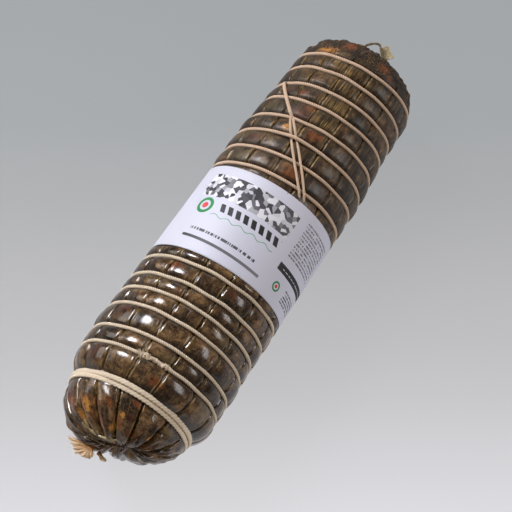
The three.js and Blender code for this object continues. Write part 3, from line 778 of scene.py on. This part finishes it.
def addBand(material):
    # Two soft braided cords lie pressed against each other, flatter than the rings, with one slanted
    # weave over both, and half as much painted shade between its plies as the rings have
    angle = evenAngles(twine["steps"])
    for number, side in ((1, -0.5), (2, 0.5)):
        plane = (bandPlane[0] + side * band["spacing"], bandPlane[1], bandPlane[2])
        path, outward = ringPath(plane, angle, thickness=band["height"])
        wide = band["halfWidth"] / band["height"]
        mesh = cordMesh(path, outward, band["height"], True, plies=1, pitch=band["hatch"],
                        groove=band["groove"], sides=36, wide=wide, power=band["power"],
                        weave=side * band["spacing"])
        mesh[2]["valley"] *= 0.5
        buildPiece(f"band_{number}", mesh, material, [f"twine_band_{number}"])


def placeOnRing(plane, degrees, lift):
    # A place on a ring at one angle, with the directions along the ring, outward and across it
    path, outward = ringPath(plane, np.radians(np.array([degrees - 0.5, degrees, degrees + 0.5])))
    tangent = unit(path[2] - path[0])
    return path[1] + lift * outward[1], tangent, outward[1], np.cross(tangent, outward[1])


def fibreTuft(root, heading, out, count, length, spread, fan, thickness, random):
    # Thin fibres from one root: each starts within the spread, leans out by the fan's share and bends
    # a little, and its radius falls to a third at the tip
    side = unit(np.cross(heading, out))
    up = np.cross(side, heading)
    steps, sides = 6, 4
    t = np.linspace(0, 1, steps)[None, :, None]
    offset = random.normal(0, 0.5, (count, 2))
    start = root + spread * (offset[:, :1] * side + offset[:, 1:] * up)
    lean = fan * (offset[:, :1] * side + offset[:, 1:] * up) + heading
    bend = 0.35 * random.normal(0, 1, (count, 1)) * side + 0.2 * random.normal(0, 1, (count, 1)) * up
    reach = (length * random.uniform(0.6, 1.1, (count, 1)))[:, None]
    path = start[:, None] + reach * (t * lean[:, None] + t ** 2 * bend[:, None])
    spin = evenAngles(sides)
    ring = np.cos(spin)[:, None] * side + np.sin(spin)[:, None] * up
    radius = (thickness * (1 - 0.65 * t))[..., None]
    points = path[:, :, None] + radius * ring[None, None]
    block = gridFaces(steps, sides, False, True)
    corners = np.arange(steps * sides)
    caps = np.stack([corners[:sides], corners[::-1][:sides]])
    first = (steps * sides * np.arange(count))[:, None, None]
    faces = [(np.concatenate([block, caps])[None] + first).reshape(-1, 4)]
    along = np.broadcast_to(t, (count, steps, sides)).ravel()
    # Painted shade darkens each fibre towards its root
    return points, faces, {"valley": 0.3 * (1 - along)}, np.stack([along, along], axis=-1)


knot = {
    "ring": "lower_1", "from": -22, "to": 4, "coilRadius": 0.9, "coilPitch": 11, "cord": 1.5,
    # each wrap's degrees round the ring, its lean along the ring, and its radius
    "wraps": ((-17.5, 0.3, 1.5), (-15.6, -0.4, 1.5), (-2.3, 0.45, 1.7), (-0.4, -0.2, 1.9),
              (1.3, -0.5, 1.5)),
    "wrapCord": 0.9,
    # each frayed end's degrees, pushes along the ring, along the roll and outward, and length
    "frayed": ((2.0, 0.9, 0.7, 0.35, 3.6), (-1.5, 0.2, 1.0, 0.5, 3.8), (-2.0, -0.3, -1.0, 0.45, 3.6),
               (-17, 0.3, -1.0, 0.3, 2.6), (3.4, 0.5, -0.9, 0.4, 3.2), (-9, 0.1, 1.0, 0.6, 2.0)),
}


def addKnot(material):
    # A second twine coiled round the ring between two lumps, short wraps over each lump, frayed ends
    plane = ringPlanes[knot["ring"]]
    count = 110
    degrees = np.linspace(knot["from"], knot["to"], count)
    path, outward = ringPath(plane, np.radians(degrees))
    across = np.cross(unit(np.gradient(path, axis=0)), outward)
    spin = (turn * np.radians(degrees) * roll["radius"] / knot["coilPitch"])[:, None]
    ease = np.sin(np.pi * np.linspace(0, 1, count))[:, None] ** 0.4
    coil = path + knot["coilRadius"] * ease * (np.abs(np.cos(spin)) * outward + np.sin(spin) * across)
    parts = [cordMesh(coil, outward, knot["cord"], False)]
    around = evenAngles(40)
    for place, lean, size in knot["wraps"]:
        middle, along, out, side = placeOnRing(plane, place, lift=0.35)
        circle = size * (np.cos(around)[:, None] * out + np.sin(around)[:, None] * (side + lean * along))
        parts.append(cordMesh(middle + circle, circle, knot["wrapCord"], True, pitch=5, sides=10))
    random = np.random.default_rng(5)
    for place, alongPush, sidePush, outPush, length in knot["frayed"]:
        middle, along, out, side = placeOnRing(plane, place, lift=0.8)
        heading = unit(alongPush * along - sidePush * side + outPush * out)
        parts.append(fibreTuft(middle, heading, out, count=30, length=length, spread=1.3, fan=0.75,
                               thickness=0.16, random=random))
    buildPiece("knot", joinParts(parts), material, ["twine_knot"])


strands = {
    "upper": {"from": "upper_6", "to": "upper_4", "start": 51, "end": 14.8, "bow": 0, "radius": 1.5},
    "left": {"from": "upper_4", "to": None, "start": 16, "end": -32.2, "bow": 3, "radius": 1.1},
    "right": {"from": "upper_4", "to": None, "start": 14, "end": -35.9, "bow": 0, "radius": 1.1},
}
# mm over the casing, how it dips, tucks in and sinks, and over how many mm along the roll, and how
# many steps the path has
strandLift = {"height": 0.8, "dip": 2.6, "dipReach": 4.2, "tuck": 2.6, "tuckReach": 2.2,
              "under": 3, "sunk": -0.7, "rise": 7, "stepsPerMm": 3.2}


def addStrand(name, settings, material):
    # Straight over the casing in x and angle, a little bowed. It dips under the humped ring, tucks in
    # at a ring, and sinks into the casing over the last few mm before the label's edge
    start = planeAt(ringPlanes[settings["from"]], np.radians(settings["start"]))
    under = settings["to"] is None
    endPlane = labelPlanes["upper"] if under else ringPlanes[settings["to"]]
    end = planeAt(endPlane, np.radians(settings["end"])) - (strandLift["under"] if under else 0)
    share = np.linspace(0, 1, round((start - end) * strandLift["stepsPerMm"]))
    x = start + (end - start) * share
    degrees = settings["start"] + (settings["end"] - settings["start"]) * share
    angle = np.radians(degrees + settings["bow"] * 4 * share * (1 - share))
    fromHump = x - planeAt(ringPlanes["upper_3"], angle)
    lift = strandLift
    height = lift["height"] + settings["radius"] - lift["dip"] * bell(fromHump, lift["dipReach"])
    height = height - lift["tuck"] * bell(x - start, lift["tuckReach"])
    if under:
        rise = smoothStep(x - end - lift["under"], 0, lift["rise"])
        height = lift["sunk"] + (height - lift["sunk"]) * rise
    else:
        height = height - lift["tuck"] * bell(x - end, lift["tuckReach"])
    path = onRoll(x, angle, crestRadius(x) + height)
    mesh = cordMesh(path, onRoll(0 * x, angle, 1 + 0 * x), settings["radius"], False, pitch=4.5, sides=12)
    buildPiece("strand_" + name, mesh, material, ["tie_strand_" + name])


def twineMaterial():
    # Three-ply cotton twine, undyed: matt and pale tan, with painted shade between the plies, and
    # a little pinker on the thin half of the roll
    cotton, shader = newMaterial("undyed cotton twine")
    place = addNode(cotton, "TexCoord", out="Object")
    along = addNode(cotton, "SeparateXYZ", {0: place})
    upper = addNode(cotton, "MapRange", {0: along, 1: -0.03, 2: 0.05})
    colour = addNode(cotton, "Mix", {0: upper, 6: "#dfceb4", 7: "#d3b297"}, **inColour)
    # Grease and dust: clouds of about 9 mm
    grease = addNode(cotton, "TexNoise", {"Vector": place, "Scale": 110, "Detail": 3})
    grease = addNode(cotton, "MapRange", {0: grease, 1: 0.42, 2: 0.66, 4: 0.25})
    # Fibres: 0.35 mm across and 2.5 mm along the cord, from the map laid along it
    flat = addNode(cotton, "UVMap", uv_map="flat")
    drawn = addNode(cotton, "VectorMath", {0: flat, 1: (4, 28, 1)}, **times)
    fibre = addNode(cotton, "TexNoise", {"Vector": drawn, "Scale": 1, "Detail": 3})
    light = addNode(cotton, "MapRange", {0: fibre, 1: 0.35, 2: 0.7, 4: 0.4})
    # Painted shade between the plies, from the cord's groove mask
    valley = addNode(cotton, "Attribute", out="Fac", attribute_name="valley")
    valley = addNode(cotton, "Math", {0: valley, 1: 0.5}, **times)
    for share, tone in ((grease, "#a98d72"), (light, "#f1e5d1"), (valley, "#8a6f55")):
        colour = addNode(cotton, "Mix", {0: share, 6: colour, 7: tone}, **inColour)
    bump = addNode(cotton, "Bump", {"Strength": 0.7, "Distance": 0.0002, "Height": fibre})
    setSockets(cotton, shader, {
        "Base Color": colour, "Roughness": 0.85, "Sheen Weight": 0.15, "Normal": bump,
    })
    return cotton


# Label

label = {"proud": 0.8, "thickness": 0.25, "rows": 360, "columns": 60}


def addLabel(material):
    # A sheet round the roll between two slanted planes; its map is mm / 100, across and along
    angle = np.linspace(-np.pi, np.pi, label["rows"] + 1)[:-1][:, None]
    share = np.linspace(0, 1, label["columns"])[None, :]
    x = planeAt(labelPlanes["lower"], angle) * (1 - share) + planeAt(labelPlanes["upper"], angle) * share
    radius = flattened(crestRadius(x) + label["proud"], angle, twine["clearance"])
    uv = np.stack([-(angle + 0 * x) * roll["radius"] / 100, x / 100], axis=-1)
    faces = gridFaces(label["rows"], label["columns"], True, False)
    mesh = (onRoll(x, angle, radius), [faces[:, ::-1]], {}, uv)
    piece = buildPiece("paper_label", mesh, material, ["label"])
    wall = piece.modifiers.new("paper", "SOLIDIFY")
    wall.thickness, wall.offset = label["thickness"] / 1000, -1


# The print, in mm across the label (to the right as it is read) and along the roll from its middle.
# It is a plain pattern of its own: a band of broken shapes, slanted bars, a ring, lines and dashes.
printBoxes = {  # left, right, bottom, top
    "mosaic": (-46, 38, 6.5, 28), "bars": (-20, 36, -4.5, 2.5), "wave": (-24, 34, -11, -7),
    "title": (-33, 27, -26.5, -22.5), "bar": (-36, 36, -33.5, -31), "sideText": (47, 87, -3, 31),
    "sideBar": (45, 100, -16, -9.5), "sideLine": (50, 96, -13.2, -12.4), "sideBlock": (66, 92, -33, -21),
}


def insideBox(material, place, box):
    # 1 where |place - middle| / half size is under 1 both ways
    left, right, bottom, top = box
    middle = ((left + right) / 2, (bottom + top) / 2, 0)
    half = ((right - left) / 2, (top - bottom) / 2, 1)
    shifted = addNode(material, "VectorMath", {0: place, 1: middle}, operation="SUBTRACT")
    scaled = addNode(material, "VectorMath", {0: shifted, 1: half}, operation="DIVIDE")
    size = addNode(material, "VectorMath", {0: scaled}, operation="ABSOLUTE")
    split = addNode(material, "SeparateXYZ", {0: size})
    along = addNode(material, "SeparateXYZ", {0: size}, out=1)
    larger = addNode(material, "Math", {0: split, 1: along}, operation="MAXIMUM")
    return addNode(material, "Math", {0: larger, 1: 1}, operation="LESS_THAN")


def dashes(material, place, inBox, pitch, wordLength):
    # Rows of dashes in place of text: a row in each pitch, broken by noise drawn out along it
    split = addNode(material, "SeparateXYZ", {0: place}, out=1)
    row = addNode(material, "Math", {0: split, 1: pitch}, operation="DIVIDE")
    number = addNode(material, "Math", {0: row}, operation="FLOOR")
    within = addNode(material, "Math", {0: row}, operation="FRACT")
    inRow = addNode(material, "Math", {0: within, 1: 0.5, 2: 0.26}, operation="COMPARE")
    across = addNode(material, "SeparateXYZ", {0: place})
    across = addNode(material, "Math", {0: across, 1: wordLength}, operation="DIVIDE")
    number = addNode(material, "Math", {0: number, 1: 17.3}, **times)
    spot = addNode(material, "CombineXYZ", {0: across, 1: number})
    words = addNode(material, "TexNoise", {"Vector": spot, "Scale": 1, "Detail": 1}, noise_dimensions="2D")
    ink = addNode(material, "Math", {0: words, 1: 0.44}, operation="GREATER_THAN")
    ink = addNode(material, "Math", {0: ink, 1: inRow}, **times)
    return addNode(material, "Math", {0: ink, 1: inBox}, **times)


def labelMaterial():
    # White coated paper, cool in tone, with a flat offset print and a soft satin shine
    paper, shader = newMaterial("coated white paper")
    flat = addNode(paper, "UVMap", uv_map="flat")
    place = addNode(paper, "VectorMath", {0: flat, 1: (100, 100, 0)}, **times)
    across = addNode(paper, "SeparateXYZ", {0: place})
    along = addNode(paper, "SeparateXYZ", {0: place}, out=1)
    inBox = {name: insideBox(paper, place, box) for name, box in printBoxes.items()}
    # Broken shapes of about 4 mm in black, grey and white, greyer to the right
    tile = {"Vector": place, "Scale": 0.27}
    tile = addNode(paper, "TexVoronoi", tile, out="Color", voronoi_dimensions="2D")
    tile = addNode(paper, "SeparateXYZ", {0: tile})
    fade = addNode(paper, "MapRange", {0: across, 1: -10, 2: 40, 3: 0, 4: 0.22})
    tileColour = addNode(paper, "ValToRGB", {0: tile}, stops=[
        (0, "#16161a"), (0.78, "#e4e5ee"), (0.40, "#3a3a40"), (0.50, "#8c8c94"), (0.60, "#c9cad4")])
    tileColour = addNode(paper, "Mix", {0: fade, 6: tileColour, 7: "#8f8f98"}, **inColour)
    slant = addNode(paper, "Math", {0: along, 1: 0.35, 2: across}, **timesPlus)
    slant = addNode(paper, "Math", {0: slant, 1: 7}, operation="DIVIDE")
    slant = addNode(paper, "Math", {0: slant}, operation="FRACT")
    bars = addNode(paper, "Math", {0: slant, 1: 0.5, 2: 0.3}, operation="COMPARE")
    bars = addNode(paper, "Math", {0: bars, 1: inBox["bars"]}, **times)
    swing = addNode(paper, "Math", {0: across, 1: 0.55}, **times)
    swing = addNode(paper, "Math", {0: swing}, operation="SINE")
    swing = addNode(paper, "Math", {0: swing, 1: 1.1, 2: -9}, **timesPlus)
    wave = addNode(paper, "Math", {0: along, 1: swing, 2: 0.32}, operation="COMPARE")
    wave = addNode(paper, "Math", {0: wave, 1: inBox["wave"]}, **times)
    darker = addNode(paper, "MapRange", {0: across, 1: -36, 2: 36})
    barColour = addNode(paper, "Mix", {0: darker, 6: "#17171b", 7: "#77777f"}, **inColour)
    inks = [
        (inBox["mosaic"], tileColour), (bars, "#17171b"), (wave, "#4f9a72"),
        (dashes(paper, place, inBox["title"], 4.5, 1.6), "#46464d"), (inBox["bar"], barColour),
        (dashes(paper, place, inBox["sideText"], 2.8, 1.3), "#77777f"), (inBox["sideBar"], "#1b1b20"),
        (dashes(paper, place, inBox["sideLine"], 2.4, 1.5), "#c9cad4"),
        (dashes(paper, place, inBox["sideBlock"], 2.4, 1.3), "#55555c"),
    ]
    for middle, size in (((-34, -3, 0), 6.2), ((54, -27, 0), 3.4)):
        gap = addNode(paper, "VectorMath", {0: place, 1: middle}, out="Value", operation="DISTANCE")
        ring = addNode(paper, "Math", {0: gap, 1: size, 2: size * 0.22}, operation="COMPARE")
        dot = addNode(paper, "Math", {0: gap, 1: size * 0.45}, operation="LESS_THAN")
        inks += [(ring, "#0d7a3d"), (dot, "#d23b36")]
    colour = addNode(paper, "RGB")
    colour.default_value = linear("#cbcddd")
    for ink, inkColour in inks:
        colour = addNode(paper, "Mix", {0: ink, 6: colour, 7: inkColour}, **inColour)
    inSheet = addNode(paper, "TexCoord", out="Object")
    pulp = addNode(paper, "TexNoise", {"Vector": inSheet, "Scale": 160, "Detail": 3})
    bump = addNode(paper, "Bump", {"Strength": 0.25, "Distance": 0.0004, "Height": pulp})
    setSockets(paper, shader, {"Base Color": colour, "Roughness": 0.6, "IOR": 1.45, "Normal": bump})
    return paper


# The two ends

tailRibs = {
    "large": {
        "root": (-198.6, 4.6, 4.6), "spread": 4.2, "count": 12, "headings": (98, 203),
        "lengths": (23, 9.5), "tilt": 0.4, "radius": (0.8, 1.55), "node": "tail_lower", "seed": 41,
    },
    "small": {
        "root": (-200.6, 1.6, 1.2), "spread": 2.6, "count": 5, "headings": (222, 268),
        "lengths": (5.5, 9), "tilt": -2, "radius": (0.8, 1.4), "node": "tail_lower_small", "seed": 42,
    },
}


def addTail(name, settings, material):
    # Ribs like cut straws that fan out from the root, each wider towards its tip, with loose fibres
    random = np.random.default_rng(settings["seed"])
    count, steps, sides = settings["count"], 26, 12
    out = np.array([0, 0, 1.0])
    parts = []
    for i in range(count):
        share = i / (count - 1)
        heading = np.radians(np.interp(share, [0, 1], settings["headings"]) + random.uniform(-3, 3))
        length = np.interp(share ** 0.7, [0, 1], settings["lengths"]) * random.uniform(0.86, 1.03)
        ahead = np.array([np.cos(heading), np.sin(heading), 0])
        beside = np.array([-np.sin(heading), np.cos(heading), 0])
        root = np.array(settings["root"]) + beside * settings["spread"] * (0.5 - share)
        t = np.linspace(0, 1, steps)[:, None]
        lift = settings["tilt"] * t + 0.9 * (i % 2 - 0.5) * t + 0.7 * np.sin(np.pi * t)
        path = root + ahead * length * t + beside * random.uniform(-1.2, 1.2) * t ** 2 + lift * out
        thin, thick = settings["radius"]
        radius = np.interp(t[:, 0], [0, 0.75, 0.94, 1], [thin, thick, 1.2, 0.55])
        rib = cordMesh(path, out, radius, False, plies=4, pitch=60, groove=0.35, sides=sides)
        rib[2]["tip"] = np.repeat(t[:, 0], sides)
        loose = fibreTuft(path[14], ahead, out, count=7, length=length * 0.5, spread=1.6, fan=0.3,
                          thickness=0.16, random=random)
        loose[2]["tip"] = np.full(loose[2]["valley"].shape, 1.0)
        parts += [rib, loose]
    buildPiece("tail_" + name, joinParts(parts), material, [settings["node"]])


endLoop = {"radius": 1.1, "places": (
    (196, 8.8, 27.5), (199, 7, 30.6), (203.4, 3.8, 32.2), (207.2, -1.2, 32.6),
    (207.4, -4.6, 32.4), (204.2, -7.6, 32), (200.4, -10.8, 31), (197.6, -14.4, 29.2), (195, -17, 27),
)}


def addEndLoop(material):
    count, sides = 120, 12
    path = smoothPath(endLoop["places"], count)
    out = np.tile([0, 0, 1.0], (count, 1))
    radius = endLoop["radius"] * (1 + 0.12 * np.sin(np.linspace(0, 31, count)))
    mesh = cordMesh(path, out, radius, False, plies=2, pitch=9, groove=0.3, sides=sides)
    mesh[2]["tip"] = np.full(count * sides, 0.12)
    buildPiece("end_loop_cord", mesh, material, ["end_loop"])


flap = {
    "near": ((206.4, -5.2, 29), (198, -13.8, 28)), "far": ((213.2, -11.2, 29.6), (206.4, -20.2, 27.6)),
    "thickness": 0.7, "rows": 34, "columns": 30,
}


def addFlap(material):
    # A sheet between two edges; it waves along and out, and its outer edge is ragged
    near, far = np.array(flap["near"]), np.array(flap["far"])
    along, out = np.linspace(0, 1, flap["rows"])[:, None], np.linspace(0, 1, flap["columns"])[None, :]
    ragged = 1 - 0.09 * np.abs(np.sin(11 * along)) - 0.06 * np.abs(np.sin(23 * along + 1))
    inner = near[0] + (near[1] - near[0]) * along[..., None]
    outer = far[0] + (far[1] - far[0]) * along[..., None]
    points = inner + (outer - inner) * (out * ragged)[..., None]
    points[..., 2] += 0.6 * np.sin(5 * along + 2 * out)
    points[..., 2] += 0.25 * np.sin(17 * along - 5 * out) + 0.2 * np.sin(13 * out)
    uv = np.stack([along + 0 * out, out + 0 * along], axis=-1)
    marks = {"valley": (0.4 - 0.4 * out + 0 * along).ravel(), "tip": (out + 0 * along).ravel()}
    mesh = (points, [gridFaces(flap["rows"], flap["columns"], False, False)], marks, uv)
    piece = buildPiece("casing_flap", mesh, material, ["tail_upper"])
    wall = piece.modifiers.new("skin", "SOLIDIFY")
    wall.thickness, wall.offset = flap["thickness"] / 1000, 0


def fibreMaterial():
    # Stiff plant fibre cut with the twine: straw gold with a silky sheen, rusty at the root
    straw, shader = newMaterial("straw coloured fibre")
    tip = addNode(straw, "Attribute", out="Fac", attribute_name="tip")
    valley = addNode(straw, "Attribute", out="Fac", attribute_name="valley")
    colour = addNode(straw, "ValToRGB", {0: tip}, stops=[
        (0, "#a06a3e"), (1, "#fff0d0"), (0.3, "#dfab6c"), (0.7, "#fad9a4")])
    # Painted shade between the ribs' plies and towards the fibres' roots
    colour = addNode(straw, "Mix", {0: valley, 6: colour, 7: "#ab7038"}, **inColour)
    flat = addNode(straw, "UVMap", uv_map="flat")
    drawn = addNode(straw, "VectorMath", {0: flat, 1: (2, 24, 1)}, **times)
    grain = addNode(straw, "TexNoise", {"Vector": drawn, "Scale": 1, "Detail": 3})
    dark = addNode(straw, "MapRange", {0: grain, 1: 0.6, 2: 0.4, 4: 0.3})
    colour = addNode(straw, "Mix", {0: dark, 6: colour, 7: "#a86f3a"}, **inColour)
    bump = addNode(straw, "Bump", {"Strength": 0.5, "Distance": 0.0003, "Height": grain})
    setSockets(straw, shader, {"Base Color": colour, "Roughness": 0.6, "Sheen Weight": 0.2, "Normal": bump})
    return straw


def driedMaterial():
    # The casing where it is doubled and dried hard: khaki to dark brown, dull with a little gloss
    crust, shader = newMaterial("hard dried casing")
    tip = addNode(crust, "Attribute", out="Fac", attribute_name="tip")
    colour = addNode(crust, "ValToRGB", {0: tip}, stops=[(0, "#4a3c28"), (1, "#cdc09a"), (0.35, "#a09270")])
    place = addNode(crust, "TexCoord", out="Object")
    # Cloudy patches of about 3 mm
    cloud = addNode(crust, "TexNoise", {"Vector": place, "Scale": 330, "Detail": 4})
    dark = addNode(crust, "MapRange", {0: cloud, 1: 0.6, 2: 0.4, 4: 0.4})
    colour = addNode(crust, "Mix", {0: dark, 6: colour, 7: "#54492f"}, **inColour)
    bump = addNode(crust, "Bump", {"Strength": 0.6, "Distance": 0.0004, "Height": cloud})
    setSockets(crust, shader, {"Base Color": colour, "Roughness": 0.45, "Normal": bump})
    return crust


# Everything is made here, in order

addCamera()
addFloor()
addLights()
print("stage ready")
skin = casingMaterial()
addRoll(skin)
addGatherFolds(skin)
print("roll ready")
cotton = twineMaterial()
for seed, (name, plane) in enumerate(ringPlanes.items()):
    addRing(name, plane, cotton, 60 + seed, hump=name == "upper_3")
addBand(cotton)
addKnot(cotton)
for name, settings in strands.items():
    addStrand(name, settings, cotton)
print("twine ready")
addLabel(labelMaterial())
print("label ready")
straw = fibreMaterial()
for name, settings in tailRibs.items():
    addTail(name, settings, straw)
crust = driedMaterial()
addEndLoop(crust)
addFlap(crust)
print("ends ready")
